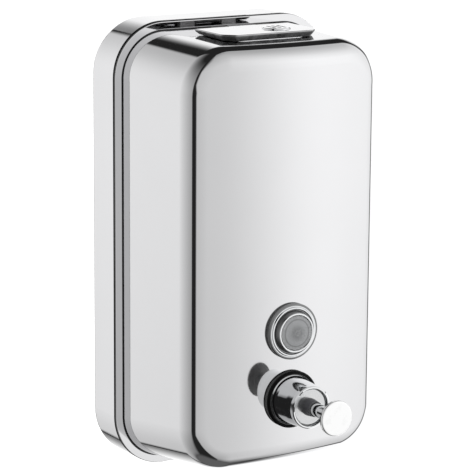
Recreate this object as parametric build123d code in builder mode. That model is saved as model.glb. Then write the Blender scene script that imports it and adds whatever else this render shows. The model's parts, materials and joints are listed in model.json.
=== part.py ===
"""Wall mounted soap dispenser: drawn steel tank, filler lid with key lock, sight window and push valve.

Millimetres.  The wall is the plane Y = 0, the room is towards -Y, +X is to the right seen from the room
and +Z is up.  The origin is the centre of the wall bracket's bolt pattern, on the wall.
Lengths called "reach" are measured from the wall into the room, so a reach r lies at Y = -r.
"""
import os
from math import sqrt

from build123d import *

# ---- driving dimensions: the body -------------------------------------------------------------------
FLANGE_WIDTH = 113.5
FLANGE_HEIGHT = 208.0
FLANGE_CORNER = 25.0
FLANGE_LEDGE = 4.0          # width of the seam flange that frames the tank
PAN_REACH = 23.5            # wall to the front face of the seam flange
PLATE_INSET = 1.2           # how far the back plate's edge stands in from the seam's, which leaves a groove
PAN_EDGE = 3.6              # rounding of the pan where it meets the wall
TANK_TOP = 99.6             # top and bottom of the tank at the seam, and of its front face:
TANK_BOTTOM = -100.0        # the floor rises forward, the top falls a little
FACE_TOP = 98.0
FACE_BOTTOM = -93.0
FACE_REACH = 84.5           # wall to the crown of the front face
FACE_WIDTH = 99.5
FACE_CORNER = 22.0
FACE_CROWN = 5.5            # how far the front face bulges over its width
FACE_EDGE = 10.5            # rounding between the front face and the sides
SHEET = 1.0                 # steel sheet
WELD_LIP = 8.0              # inward lips of the pan

# ---- driving dimensions: the filler lid -------------------------------------------------------------
LID_WIDTH = 49.5
LID_FRONT = 68.5            # reach of the lid's front edge
LID_TOP = 101.8
LID_CLIP = 5.3              # clipped front corners
HINGE_REACH = 38.4
HINGE_Z = 100.8
HINGE_KNUCKLE = 1.2
HINGE_PIN = 0.7
FILLER_WIDTH = 36.0
FILLER_DEPTH = 20.0
FILLER_REACH = 54.0         # reach of the filler hole's centre
FILLER_TOP = 100.0          # top of the rim round the filler hole
LOCK_X = 9.0
LOCK_REACH = 55.0
LOCK_NUT_RADIUS = 4.2        # half across its flats
LOCK_RADIUS = 6.6
LOCK_SHANK = 3.4

# ---- driving dimensions: the sight window ----------------------------------------------------------
WINDOW_Z = -31.4
BEZEL_RADIUS = 12.9
BEZEL_THREAD = 9.4
BEZEL_BORE = 7.2

# ---- driving dimensions: the push valve ------------------------------------------------------------
VALVE_Z = -63.0
HOUSING_FLANGE = 13.2
HOUSING_BASE = 11.3
HOUSING_RIM = 9.7
HOUSING_LENGTH = 17.5       # crown of the face to the rim
THREAD_RADIUS = 8.0
PUMP_BORE = 6.0
PUMP_TAIL = 27.0            # how far the pump barrel reaches behind the face crown
ROD_RADIUS = 3.0
KNOB_RADIUS = 8.1
KNOB_LENGTH = 38.5          # crown of the face to the knob's face
STROKE = 13.0
RUN_FIT = 0.05              # radial clearance of every running fit
GAP = 0.35                  # clear space between pieces that pass each other

# ---- driving dimensions: the wall bracket ----------------------------------------------------------
BRACKET_WIDTH = 70.0
BRACKET_SHEET = 2.0
BRACKET_TOP = 58.0
BRACKET_BOTTOM = -90.0
BOLT_SPACING_X = 50.0
BOLT_SPACING_Z = 80.0
BOLT_HOLE = 2.75
HOOK_REACH = 12.0           # reach of the bracket's hook
LOCK_SCREW_RADIUS = 2.5
LOCK_SCREW_REACH = 14.0

# ---- worked out -------------------------------------------------------------------------------------
TANK_WIDTH = FLANGE_WIDTH - 2 * FLANGE_LEDGE
TANK_CORNER = FLANGE_CORNER - FLANGE_LEDGE
CROWN_RADIUS = (FACE_WIDTH ** 2 / 4 + FACE_CROWN ** 2) / (2 * FACE_CROWN)
FLANGE_BACK = PAN_REACH - SHEET
PLATE_BACK = FLANGE_BACK - SHEET
LID_PLATE_BOTTOM = LID_TOP - SHEET
LID_BACK = HINGE_REACH + HINGE_KNUCKLE + GAP

os.makedirs("parts", exist_ok=True)


def finish(part, name):
    """Label a finished piece and write it."""
    part.label = name
    export_step(part, f"parts/{name}.step")


def wall_plane(reach):
    """Plane parallel to the wall, facing the room."""
    return Plane.XZ.offset(reach)


def valve_plane(ahead):
    """Plane across the valve's axis, a distance ahead of the face crown."""
    return Plane(origin=(0, -(FACE_REACH + ahead), VALVE_Z), x_dir=(1, 0, 0), z_dir=(0, -1, 0))


def window_plane(ahead):
    """Plane across the window's axis, a distance ahead of the face crown."""
    return Plane(origin=(0, -(FACE_REACH + ahead), WINDOW_Z), x_dir=(1, 0, 0), z_dir=(0, -1, 0))


def turned(plane, points):
    """Solid of revolution about the plane's normal from (radius, ahead) points."""
    profile_plane = Plane(origin=plane.origin, x_dir=plane.x_dir, z_dir=plane.y_dir)
    with BuildPart() as body:
        with BuildSketch(profile_plane):
            with BuildLine():
                Polyline([(radius, -ahead) for radius, ahead in points], close=True)
            make_face()
        revolve(axis=Axis(plane.origin, plane.z_dir))
    return body.part


def tank_section(reach, width, top, bottom, corner, inset):
    """Rounded outline across the tank at a reach, moved in by inset."""
    with BuildSketch(wall_plane(reach)) as section:
        with Locations((0, (top + bottom) / 2)):
            RectangleRounded(width - 2 * inset, top - bottom - 2 * inset, corner - inset)
    return section.sketch


def tank_form(inset):
    """Solid inside the drawn front shell's surface, moved in by inset."""
    beyond = 2.0
    seam = tank_section(PAN_REACH, TANK_WIDTH, TANK_TOP, TANK_BOTTOM, TANK_CORNER, inset)
    front = tank_section(FACE_REACH + beyond, FACE_WIDTH, FACE_TOP, FACE_BOTTOM, FACE_CORNER, inset)
    with BuildPart() as form:
        loft([seam.face(), front.face()])
        with BuildSketch(Plane.XY.offset(-FLANGE_HEIGHT)):
            with Locations((0, CROWN_RADIUS - FACE_REACH)):
                Circle(CROWN_RADIUS - inset)
        extrude(amount=2 * FLANGE_HEIGHT, mode=Mode.INTERSECT)
        crown = form.faces().filter_by(GeomType.CYLINDER).sort_by(Axis.Y)[0]
        fillet(crown.edges(), FACE_EDGE - inset)
    return form.part


def pan_form(inset):
    """Solid inside the pan's surface, moved in by inset, with its wall-side edge rounded."""
    with BuildPart() as form:
        with BuildSketch(wall_plane(inset)):
            RectangleRounded(FLANGE_WIDTH - 2 * inset, FLANGE_HEIGHT - 2 * inset, FLANGE_CORNER - inset)
        extrude(amount=PLATE_BACK - 2 * inset)
        fillet(form.faces().sort_by(Axis.Y)[-1].edges(), PAN_EDGE - inset)
    return form.part


outer_form = tank_form(0.0)
clear_form = tank_form(-GAP)
inner_form = tank_form(SHEET)


# ---- tank -------------------------------------------------------------------------------------------
def build_front_shell():
    """Deep-drawn front of the tank with its seam flange and its three openings."""
    with BuildPart() as shell:
        with BuildSketch(wall_plane(FLANGE_BACK)):
            RectangleRounded(FLANGE_WIDTH, FLANGE_HEIGHT, FLANGE_CORNER)
        extrude(amount=SHEET)
        add(outer_form)
        add(inner_form, mode=Mode.SUBTRACT)
        mouth = tank_section(FLANGE_BACK, TANK_WIDTH, TANK_TOP, TANK_BOTTOM, TANK_CORNER, SHEET)
        extrude(mouth, amount=SHEET, dir=(0, -1, 0), mode=Mode.SUBTRACT)
        with BuildSketch(wall_plane(FACE_REACH - 2 * FACE_CROWN)):
            with Locations((0, WINDOW_Z)):
                Circle(BEZEL_THREAD + GAP)
            with Locations((0, VALVE_Z)):
                Circle(THREAD_RADIUS + GAP)
        extrude(amount=3 * FACE_CROWN, mode=Mode.SUBTRACT)
        with BuildSketch(Plane.XY.offset(FILLER_TOP)):
            with Locations((0, -FILLER_REACH)):
                RectangleRounded(FILLER_WIDTH, FILLER_DEPTH, 4)
        extrude(amount=-4 * SHEET, mode=Mode.SUBTRACT)
    finish(shell.part, "front_shell")


def build_tank_back_plate():
    """Flat sheet that closes the tank at the seam."""
    with BuildPart() as plate:
        with BuildSketch(wall_plane(PLATE_BACK)):
            RectangleRounded(
                FLANGE_WIDTH - 2 * PLATE_INSET, FLANGE_HEIGHT - 2 * PLATE_INSET, FLANGE_CORNER - PLATE_INSET
            )
        extrude(amount=SHEET)
    finish(plate.part, "tank_back_plate")


def build_back_pan():
    """Drawn skirt between the seam and the wall, open to the wall, with a lip at each end."""
    with BuildPart() as pan:
        add(pan_form(0.0))
        add(pan_form(SHEET), mode=Mode.SUBTRACT)
        with BuildSketch(wall_plane(0.0)):
            RectangleRounded(
                FLANGE_WIDTH - 2 * WELD_LIP, FLANGE_HEIGHT - 2 * WELD_LIP, FLANGE_CORNER - WELD_LIP
            )
        extrude(amount=PLATE_BACK, mode=Mode.SUBTRACT)
        with BuildSketch(Plane.XY.offset(-FLANGE_HEIGHT / 2)):
            with Locations((0, -LOCK_SCREW_REACH)):
                Circle(LOCK_SCREW_RADIUS + GAP)
        extrude(amount=2 * SHEET, mode=Mode.SUBTRACT)
    finish(pan.part, "back_pan")


# ---- wall mounting ----------------------------------------------------------------------------------
def build_wall_bracket():
    """Bent plate screwed to the wall: hook at the top, foot for the lock screw at the bottom."""
    half = BRACKET_WIDTH / 2
    hook_top = BRACKET_TOP + 12
    with BuildPart() as bracket:
        with BuildSketch(Plane.YZ):
            with BuildLine():
                Polyline(
                    (0, BRACKET_BOTTOM),
                    (-LOCK_SCREW_REACH - 5, BRACKET_BOTTOM),
                    (-LOCK_SCREW_REACH - 5, BRACKET_BOTTOM + BRACKET_SHEET),
                    (-BRACKET_SHEET, BRACKET_BOTTOM + BRACKET_SHEET),
                    (-BRACKET_SHEET, BRACKET_TOP - BRACKET_SHEET),
                    (-HOOK_REACH, BRACKET_TOP - BRACKET_SHEET),
                    (-HOOK_REACH, hook_top),
                    (BRACKET_SHEET - HOOK_REACH, hook_top),
                    (BRACKET_SHEET - HOOK_REACH, BRACKET_TOP),
                    (0, BRACKET_TOP),
                    close=True,
                )
            make_face()
        extrude(amount=half, both=True)
        with BuildSketch(wall_plane(0.0)):
            with GridLocations(BOLT_SPACING_X, BOLT_SPACING_Z, 2, 2):
                Circle(BOLT_HOLE)
        extrude(amount=2 * BRACKET_SHEET, mode=Mode.SUBTRACT)
        with BuildSketch(Plane.XY.offset(BRACKET_BOTTOM)):
            with Locations((0, -LOCK_SCREW_REACH)):
                Circle(LOCK_SCREW_RADIUS + GAP)
        extrude(amount=BRACKET_SHEET, mode=Mode.SUBTRACT)
        with BuildSketch(wall_plane(0.0)):
            SlotOverall(50, 22, rotation=90)
        extrude(amount=2 * BRACKET_SHEET, mode=Mode.SUBTRACT)
    finish(bracket.part, "wall_bracket")
    return hook_top


def build_hanger_clip(hook_top):
    """Bent strip welded behind the tank that hangs over the bracket's hook."""
    leg_reach = HOOK_REACH - BRACKET_SHEET - GAP
    with BuildPart() as clip:
        with BuildSketch(Plane.YZ):
            with BuildLine():
                Polyline(
                    (-PLATE_BACK, hook_top - 24),
                    (-PLATE_BACK, hook_top + BRACKET_SHEET),
                    (BRACKET_SHEET - leg_reach, hook_top + BRACKET_SHEET),
                    (BRACKET_SHEET - leg_reach, hook_top - 8),
                    (-leg_reach, hook_top - 8),
                    (-leg_reach, hook_top),
                    (BRACKET_SHEET - PLATE_BACK, hook_top),
                    (BRACKET_SHEET - PLATE_BACK, hook_top - 24),
                    close=True,
                )
            make_face()
        extrude(amount=BRACKET_WIDTH / 2 - 5, both=True)
    finish(clip.part, "hanger_clip")


def build_lock_screw_nut():
    """Weld nut inside the pan's floor."""
    floor = SHEET - FLANGE_HEIGHT / 2
    with BuildPart() as nut:
        with BuildSketch(Plane.XY.offset(floor)):
            with Locations((0, -LOCK_SCREW_REACH)):
                RegularPolygon(4.0, 6, major_radius=False)
                Circle(LOCK_SCREW_RADIUS, mode=Mode.SUBTRACT)
        extrude(amount=4.0)
        chamfer(nut.edges().filter_by(GeomType.LINE).group_by(Axis.Z)[-1], 0.4)
    finish(nut.part, "lock_screw_nut")


def build_lock_screw():
    """Grub screw that keeps the dispenser from being lifted off its bracket."""
    low = -FLANGE_HEIGHT / 2
    length = 18.0
    with BuildPart() as screw:
        with BuildSketch(Plane.XY.offset(low)):
            with Locations((0, -LOCK_SCREW_REACH)):
                Circle(LOCK_SCREW_RADIUS)
        extrude(amount=length)
        chamfer(screw.edges().group_by(Axis.Z)[-1], 0.6)
        with BuildSketch(Plane.XY.offset(low)):
            with Locations((0, -LOCK_SCREW_REACH)):
                RegularPolygon(1.25, 6, major_radius=False)
        extrude(amount=2.5, mode=Mode.SUBTRACT)
    finish(screw.part, "lock_screw")


# ---- filler and lid ---------------------------------------------------------------------------------
def build_filler_rim():
    """Raised frame welded round the filler hole, the gasket's seat."""
    with BuildPart() as rim:
        with BuildSketch(Plane.XY.offset(FILLER_TOP)):
            with Locations((0, -FILLER_REACH)):
                RectangleRounded(FILLER_WIDTH + 4, FILLER_DEPTH + 4, 6)
                RectangleRounded(FILLER_WIDTH, FILLER_DEPTH, 4, mode=Mode.SUBTRACT)
        extrude(amount=-3 * SHEET)
        chamfer(rim.edges().group_by(Axis.Z)[-1], 0.2)
        add(outer_form, mode=Mode.SUBTRACT)
    finish(rim.part, "filler_rim")


def build_lid_gasket():
    """Rubber frame under the lid that presses on the filler rim."""
    with BuildPart() as gasket:
        with BuildSketch(Plane.XY.offset(FILLER_TOP)):
            with Locations((0, -FILLER_REACH)):
                RectangleRounded(FILLER_WIDTH + 5, FILLER_DEPTH + 5, 6.5)
                RectangleRounded(FILLER_WIDTH - 1, FILLER_DEPTH - 1, 3.5, mode=Mode.SUBTRACT)
        extrude(amount=LID_PLATE_BOTTOM - FILLER_TOP)
    finish(gasket.part, "lid_gasket")


def lid_outline(shrink=0.0):
    """Closed outline of the lid with its clipped front corners."""
    half = LID_WIDTH / 2 - shrink
    front = -LID_FRONT + shrink
    back = -LID_BACK - shrink
    clip = LID_CLIP - shrink * (2 - sqrt(2))
    return Polyline(
        (-half, back),
        (-half, front + clip),
        (clip - half, front),
        (half - clip, front),
        (half, front + clip),
        (half, back),
        close=True,
    )


LID_KNUCKLE = 14.0
HINGE_EAR = 7.5


def build_lid():
    """Pressed lid with a turned-down skirt that follows the tank, and a rolled knuckle at the back."""
    skirt = LID_TOP - FACE_TOP
    with BuildPart() as lid:
        with BuildSketch(Plane.XY.offset(LID_TOP)):
            with BuildLine():
                lid_outline()
            make_face()
        extrude(amount=-skirt)
        fillet(lid.edges().group_by(Axis.Z)[-1].sort_by(Axis.Y)[:-1], 0.8)
        with BuildSketch(Plane.XY.offset(LID_PLATE_BOTTOM)):
            with BuildLine():
                lid_outline(SHEET)
            make_face()
            with Locations((0, -LID_BACK)):
                Rectangle(LID_WIDTH - 2 * SHEET, 4 * SHEET)
        extrude(amount=-skirt, mode=Mode.SUBTRACT)
        add(clear_form, mode=Mode.SUBTRACT)
        with BuildSketch(Plane.YZ):
            with Locations((-HINGE_REACH, HINGE_Z)):
                Circle(HINGE_KNUCKLE)
            with Locations((-LID_BACK - SHEET / 2, LID_TOP - SHEET / 2)):
                Rectangle(HINGE_KNUCKLE + SHEET, SHEET)
            with Locations((-HINGE_REACH, HINGE_Z)):
                Circle(HINGE_PIN + RUN_FIT, mode=Mode.SUBTRACT)
        extrude(amount=LID_KNUCKLE / 2, both=True)
        with BuildSketch(Plane.XY.offset(LID_TOP)):
            with Locations((LOCK_X, -LOCK_REACH)):
                Circle(LOCK_SHANK + RUN_FIT)
        extrude(amount=-2 * SHEET, mode=Mode.SUBTRACT)
    finish(lid.part, "lid")


def build_hinge_ears():
    """Two knuckles on feet, welded to the tank on either side of the lid's own knuckle."""
    ear_centre = (LID_KNUCKLE + HINGE_EAR) / 2 + GAP
    with BuildPart() as ears:
        for side in (-1, 1):
            with BuildSketch(Plane.YZ.offset(side * ear_centre)):
                with Locations((-HINGE_REACH, HINGE_Z)):
                    Circle(HINGE_KNUCKLE)
                with Locations((-HINGE_REACH, HINGE_Z - 2)):
                    Rectangle(2 * HINGE_KNUCKLE, 4)
                with Locations((-HINGE_REACH, HINGE_Z)):
                    Circle(HINGE_PIN, mode=Mode.SUBTRACT)
            extrude(amount=HINGE_EAR / 2, both=True)
        add(outer_form, mode=Mode.SUBTRACT)
    finish(ears.part, "hinge_ears")


def build_hinge_pin():
    """Pin through all three knuckles."""
    length = LID_KNUCKLE + 2 * (HINGE_EAR + GAP)
    with BuildPart() as pin:
        with BuildSketch(Plane.YZ):
            with Locations((-HINGE_REACH, HINGE_Z)):
                Circle(HINGE_PIN)
        extrude(amount=length / 2, both=True)
    finish(pin.part, "hinge_pin")


LOCK_NUT_TOP = LID_PLATE_BOTTOM - 0.1
LOCK_NUT_BOTTOM = LOCK_NUT_TOP - 1.8
CAM_TOP = FACE_TOP - SHEET - GAP
CAM_SHEET = 1.5
CAM_LENGTH = 12.0


def build_lock_barrel():
    """Round lock in the lid, turned with a two-pin key."""
    with BuildPart() as barrel:
        with BuildSketch(Plane.XY.offset(LID_TOP)):
            with Locations((LOCK_X, -LOCK_REACH)):
                Circle(LOCK_RADIUS)
        extrude(amount=0.6)
        chamfer(barrel.edges().group_by(Axis.Z)[-1], 0.25)
        with BuildSketch(Plane.XY.offset(LID_TOP)):
            with Locations((LOCK_X, -LOCK_REACH)):
                Circle(LOCK_SHANK)
        extrude(amount=CAM_TOP - CAM_SHEET - LID_TOP)
        with BuildSketch(Plane.XY.offset(LID_TOP + 0.6)):
            with Locations((LOCK_X, -LOCK_REACH)):
                with GridLocations(2.7, 0, 3, 1):
                    SlotOverall(8.0, 1.2, rotation=90)
        extrude(amount=-1.4, mode=Mode.SUBTRACT)
    finish(barrel.part, "lock_barrel")


def build_lock_nut():
    """Ring nut that holds the lock barrel in the lid; it is screwed on the barrel and turns with it."""
    with BuildPart() as nut:
        with BuildSketch(Plane.XY.offset(LOCK_NUT_BOTTOM)):
            with Locations((LOCK_X, -LOCK_REACH)):
                RegularPolygon(LOCK_NUT_RADIUS, 6, major_radius=False)
                Circle(LOCK_SHANK, mode=Mode.SUBTRACT)
        extrude(amount=LOCK_NUT_TOP - LOCK_NUT_BOTTOM)
    finish(nut.part, "lock_nut")


def build_lock_cam():
    """Cam on the barrel's end, drawn unlocked, pointing along the filler hole."""
    with BuildPart() as cam:
        with BuildSketch(Plane.XY.offset(CAM_TOP - CAM_SHEET)):
            with Locations((LOCK_X, -LOCK_REACH)):
                Circle(LOCK_SHANK + 1.2)
            with Locations((LOCK_X - CAM_LENGTH / 2, -LOCK_REACH)):
                Rectangle(CAM_LENGTH, 6)
            with Locations((LOCK_X, -LOCK_REACH)):
                Circle(LOCK_SHANK, mode=Mode.SUBTRACT)
        extrude(amount=CAM_SHEET)
    finish(cam.part, "lock_cam")


# ---- sight window -----------------------------------------------------------------------------------
WINDOW_SEAT = 0.8           # gasket thickness at the crown
WINDOW_TAIL = 11.0


def seat_gasket(plane, outer, inner, thickness, name):
    """Flat rubber ring whose back is moulded to the crowned face."""
    with BuildPart() as gasket:
        add(turned(plane, [(inner, -2.0), (outer, -2.0), (outer, thickness), (inner, thickness)]))
        add(outer_form, mode=Mode.SUBTRACT)
    finish(gasket.part, name)


def back_washer(plane, outer, inner, depth, name):
    """Rubber washer inside the tank whose front is moulded to the crowned sheet."""
    with BuildPart() as washer:
        add(turned(plane, [(inner, -depth), (outer, -depth), (outer, 1.0), (inner, 1.0)]))
        add(inner_form, mode=Mode.INTERSECT)
    finish(washer.part, name)


def clamp_nut(plane, across_flats, bore, front, thickness, name):
    """Hexagon nut behind the face."""
    with BuildPart() as nut:
        with BuildSketch(plane.offset(-front - thickness)):
            RegularPolygon(across_flats / 2, 6, major_radius=False)
            Circle(bore, mode=Mode.SUBTRACT)
        extrude(amount=thickness)
        chamfer(nut.edges().filter_by(GeomType.LINE).filter_by(Axis.Y, reverse=True), 0.5)
    finish(nut.part, name)


def build_window_bezel():
    """Turned ring: flange, raised collar and threaded tail."""
    seat = WINDOW_SEAT
    profile = [
        (BEZEL_BORE, -WINDOW_TAIL),
        (BEZEL_THREAD, -WINDOW_TAIL),
        (BEZEL_THREAD, seat),
        (BEZEL_RADIUS, seat),
        (BEZEL_RADIUS, seat + 0.7),
        (BEZEL_RADIUS - 0.5, seat + 1.1),
        (11.5, seat + 1.1),
        (11.1, seat + 1.6),
        (10.6, seat + 1.6),
        (10.2, seat + 0.9),
        (9.9, seat + 0.9),
        (9.2, seat + 3.2),
        (8.9, seat + 4.0),
        (8.3, seat + 4.0),
        (7.9, seat + 3.4),
        (7.9, seat + 1.5),
        (BEZEL_BORE, seat + 1.5),
    ]
    finish(turned(window_plane(0), profile), "window_bezel")


def build_window_lens():
    """Clear domed lens pressed into the bezel's collar."""
    seat = WINDOW_SEAT
    radius = 7.9 - RUN_FIT
    back = -FACE_REACH - seat - 1.5
    edge = -FACE_REACH - seat - 3.7
    crown = -FACE_REACH - seat - 4.6
    rise = edge - crown
    dome = (radius ** 2 + rise ** 2) / (2 * rise)
    half_way = crown + dome - sqrt(dome ** 2 - radius ** 2 / 4)
    with BuildPart() as lens:
        with BuildSketch(Plane.XY.offset(WINDOW_Z)):
            with BuildLine():
                Polyline((0, crown), (0, back), (radius, back), (radius, edge))
                ThreePointArc((radius, edge), (radius / 2, half_way), (0, crown))
            make_face()
        revolve(axis=Axis(window_plane(0).origin, (0, -1, 0)))
    finish(lens.part, "window_lens")


# ---- push valve -------------------------------------------------------------------------------------
VALVE_SEAT = 0.8
GLAND_BACK = 14.0
GLAND_FRONT = 16.2
PISTON_FRONT = 8.0
PISTON_BACK = 2.0
INLET_FRONT = -22.0
SPRING_WIRE = 0.45          # radius of the wire
SPRING_RADIUS = 4.4
SPRING_TURNS = 8
INLET_BALL = 2.0
DISCHARGE_BALL = 1.5
BUSH_NOSE = 4.2             # radius of the bush's nose, which stops the piston at rest
OUTLET_AHEAD = 10.0
OUTLET_RADIUS = 1.9


def build_valve_housing():
    """Chromed housing: flange, flared body, rim and the threaded barrel through the tank wall."""
    seat = VALVE_SEAT
    profile = [
        (PUMP_BORE, -PUMP_TAIL),
        (THREAD_RADIUS, -PUMP_TAIL),
        (THREAD_RADIUS, seat),
        (HOUSING_FLANGE, seat),
        (HOUSING_FLANGE, seat + 0.8),
        (HOUSING_FLANGE - 0.6, seat + 1.4),
        (HOUSING_BASE + 0.9, seat + 1.4),
        (HOUSING_BASE + 0.3, seat + 1.0),
        (HOUSING_BASE - 0.1, seat + 1.4),
        (HOUSING_BASE - 0.5, seat + 4.2),
        (HOUSING_RIM + 0.5, HOUSING_LENGTH - 6.0),
        (HOUSING_RIM + 0.1, HOUSING_LENGTH - 2.2),
        (HOUSING_RIM + 0.1, HOUSING_LENGTH - 0.4),
        (HOUSING_RIM - 0.3, HOUSING_LENGTH),
        (HOUSING_RIM - 0.9, HOUSING_LENGTH),
        (HOUSING_RIM - 1.1, GLAND_BACK),
        (PUMP_BORE, GLAND_BACK),
    ]
    with BuildPart() as housing:
        add(turned(valve_plane(0), profile))
        with BuildSketch(Plane.XY.offset(VALVE_Z)):
            with Locations((0, -FACE_REACH - OUTLET_AHEAD)):
                Circle(OUTLET_RADIUS)
        extrude(amount=-2 * HOUSING_BASE, mode=Mode.SUBTRACT)
    finish(housing.part, "valve_housing")


def build_gland_disc():
    """Bright disc that closes the barrel, set inside the rim with a shadow groove round it."""
    profile = [
        (ROD_RADIUS + 1.0, GLAND_BACK),
        (HOUSING_RIM - 1.1, GLAND_BACK),
        (HOUSING_RIM - 1.1, GLAND_FRONT - 1.2),
        (HOUSING_RIM - 1.7, GLAND_FRONT - 1.2),
        (HOUSING_RIM - 1.7, GLAND_FRONT),
        (ROD_RADIUS + 1.0, GLAND_FRONT),
    ]
    finish(turned(valve_plane(0), profile), "gland_disc")


def build_rod_bush():
    """Black bush and wiper that the rod slides in."""
    bore = ROD_RADIUS + RUN_FIT
    profile = [
        (bore, PISTON_FRONT + GAP),
        (BUSH_NOSE, PISTON_FRONT + GAP),
        (BUSH_NOSE, GLAND_BACK - 2.0),
        (PUMP_BORE, GLAND_BACK - 2.0),
        (PUMP_BORE, GLAND_BACK),
        (ROD_RADIUS + 1.0, GLAND_BACK),
        (ROD_RADIUS + 1.0, GLAND_FRONT + 0.6),
        (ROD_RADIUS + 0.5, GLAND_FRONT + 4.8),
        (bore, GLAND_FRONT + 4.8),
    ]
    finish(turned(valve_plane(0), profile), "rod_bush")


def build_inlet_seat():
    """Plastic end piece of the barrel: spring seat, ball chamber and soap inlet."""
    back = -PUMP_TAIL - 4.0
    profile = [
        (1.2, back),
        (THREAD_RADIUS, back),
        (THREAD_RADIUS, -PUMP_TAIL),
        (PUMP_BORE, -PUMP_TAIL),
        (PUMP_BORE, INLET_FRONT),
        (1.4, INLET_FRONT),
        (1.4, INLET_FRONT - 1.2),
        (INLET_BALL + 0.5, INLET_FRONT - 2.0),
        (INLET_BALL + 0.5, -PUMP_TAIL - 1.0),
        (1.2, -PUMP_TAIL - 2.3),
    ]
    finish(turned(valve_plane(0), profile), "inlet_seat")


def ball(ahead, radius, name):
    """Check-valve ball on the valve's axis."""
    with BuildPart() as sphere:
        with Locations(valve_plane(ahead).origin):
            Sphere(radius)
    finish(sphere.part, name)


def build_piston():
    """Piston with a groove for its seal, a ball chamber and cross drilling to the front annulus."""
    wall = PUMP_BORE - RUN_FIT
    profile = [
        (1.0, PISTON_BACK),
        (3.0, PISTON_BACK),
        (3.0, PISTON_BACK + 0.8),
        (wall, PISTON_BACK + 0.8),
        (wall, PISTON_BACK + 2.0),
        (wall - 1.3, PISTON_BACK + 2.0),
        (wall - 1.3, PISTON_BACK + 4.0),
        (wall, PISTON_BACK + 4.0),
        (wall, PISTON_BACK + 5.0),
        (ROD_RADIUS + 1.2, PISTON_FRONT),
        (1.9, PISTON_FRONT),
        (1.9, PISTON_BACK + 2.4),
        (1.0, PISTON_BACK + 1.2),
    ]
    with BuildPart() as piston:
        add(turned(valve_plane(0), profile))
        with BuildSketch(Plane.XY.offset(VALVE_Z)):
            with Locations((0, -FACE_REACH - PISTON_FRONT + 1.4)):
                Circle(0.8)
        extrude(amount=PUMP_BORE + 1, both=True, mode=Mode.SUBTRACT)
    finish(piston.part, "piston")


def build_piston_seal():
    """Rubber ring in the piston's groove."""
    outer = PUMP_BORE - RUN_FIT / 2
    groove = PUMP_BORE - RUN_FIT - 1.3
    profile = [
        (groove, PISTON_BACK + 2.1),
        (outer - 0.3, PISTON_BACK + 2.1),
        (outer, PISTON_BACK + 2.5),
        (outer, PISTON_BACK + 3.5),
        (outer - 0.3, PISTON_BACK + 3.9),
        (groove, PISTON_BACK + 3.9),
    ]
    finish(turned(valve_plane(0), profile), "piston_seal")


def build_push_rod():
    """Rod from the piston to the knob."""
    with BuildPart() as rod:
        add(
            turned(
                valve_plane(0),
                [
                    (0, PISTON_FRONT),
                    (ROD_RADIUS, PISTON_FRONT),
                    (ROD_RADIUS, KNOB_LENGTH - 3.0),
                    (1.8, KNOB_LENGTH - 3.0),
                    (1.8, KNOB_LENGTH - 1.2),
                    (0, KNOB_LENGTH - 1.2),
                ],
            )
        )
    finish(rod.part, "push_rod")


def build_push_knob():
    """Thin round knob, slightly domed, with a rounded back edge."""
    back = KNOB_LENGTH - 2.8
    with BuildPart() as knob:
        add(
            turned(
                valve_plane(0),
                [
                    (0, KNOB_LENGTH - 1.2),
                    (1.8, KNOB_LENGTH - 1.2),
                    (1.8, KNOB_LENGTH - 3.0),
                    (ROD_RADIUS + 0.6, KNOB_LENGTH - 3.0),
                    (ROD_RADIUS + 1.6, back + 0.3),
                    (KNOB_RADIUS, back + 0.9),
                    (KNOB_RADIUS, KNOB_LENGTH),
                    (0, KNOB_LENGTH),
                ],
            )
        )
        rim_edges = knob.edges().filter_by(GeomType.CIRCLE).filter_by(lambda edge: edge.radius > KNOB_RADIUS - 0.1)
        fillet(rim_edges, 0.7)
    finish(knob.part, "push_knob")


def build_return_spring():
    """Compression spring between the inlet seat and the piston."""
    length = PISTON_BACK - INLET_FRONT
    wire = SPRING_WIRE
    pitch = (length - 2 * wire) / SPRING_TURNS
    with BuildPart() as spring:
        with BuildLine() as path:
            Helix(
                pitch=pitch,
                height=length - 2 * wire - 0.1,
                radius=SPRING_RADIUS,
                center=valve_plane(INLET_FRONT + wire + 0.05).origin,
                direction=(0, -1, 0),
            )
        start = path.line @ 0
        with BuildSketch(Plane(origin=start, z_dir=path.line % 0)):
            Circle(wire)
        sweep(is_frenet=True)
    finish(spring.part, "return_spring")


build_front_shell()
build_tank_back_plate()
build_back_pan()
bracket_hook_top = build_wall_bracket()
build_hanger_clip(bracket_hook_top)
build_lock_screw_nut()
build_lock_screw()
build_filler_rim()
build_lid_gasket()
build_lid()
build_hinge_ears()
build_hinge_pin()
build_lock_barrel()
build_lock_nut()
build_lock_cam()
seat_gasket(window_plane(0), BEZEL_RADIUS - 0.2, BEZEL_THREAD, WINDOW_SEAT, "window_gasket")
build_window_bezel()
build_window_lens()
back_washer(window_plane(0), BEZEL_RADIUS, BEZEL_THREAD, 2.5, "window_back_washer")
clamp_nut(window_plane(0), 26.0, BEZEL_THREAD, 2.5, 4.0, "window_nut")
seat_gasket(valve_plane(0), HOUSING_FLANGE - 0.2, THREAD_RADIUS, VALVE_SEAT, "valve_gasket")
build_valve_housing()
back_washer(valve_plane(0), HOUSING_FLANGE, THREAD_RADIUS, 2.5, "valve_back_washer")
clamp_nut(valve_plane(0), 24.0, THREAD_RADIUS, 2.5, 5.0, "valve_nut")
build_gland_disc()
build_rod_bush()
build_inlet_seat()
ball(-PUMP_TAIL - 0.65, INLET_BALL, "inlet_ball")
build_return_spring()
build_piston()
build_piston_seal()
ball(PISTON_BACK + 2.4, DISCHARGE_BALL, "discharge_ball")
build_push_rod()
build_push_knob()
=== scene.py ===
"""Polished steel wall soap dispenser: looks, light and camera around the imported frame.  Metres."""
import json
from math import cos, pi, radians, sin, sqrt

import bpy
from mathutils import Matrix, Vector
from mathutils.geometry import delaunay_2d_cdt


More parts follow.
